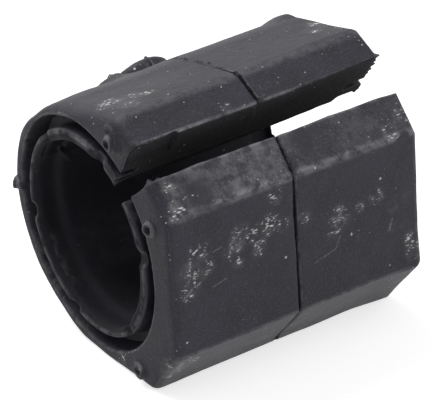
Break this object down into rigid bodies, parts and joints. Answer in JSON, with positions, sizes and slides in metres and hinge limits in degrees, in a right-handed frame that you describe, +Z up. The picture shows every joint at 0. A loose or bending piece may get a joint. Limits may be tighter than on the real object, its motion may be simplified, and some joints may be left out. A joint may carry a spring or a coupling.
{
  "type": "sway bar bushing",
  "caption": "Split D-shaped rubber bushing that holds a round sway bar, with a flat front, bevels, end lips, a parting ridge and a locating lug.",
  "frame": {"origin": "centre of the bore, on the bar's axis at mid length", "axes": "+X along the bar, -Y out of the flat front, +Z up as the bushing stands on its flat underside"},
  "size_m": [0.0518, 0.0525, 0.0511],
  "materials": {
    "rubber": "matte, dusted with talc"
  },
  "bodies": {
    "root": {"bushing": "rubber"}
  },
  "joints": []
}
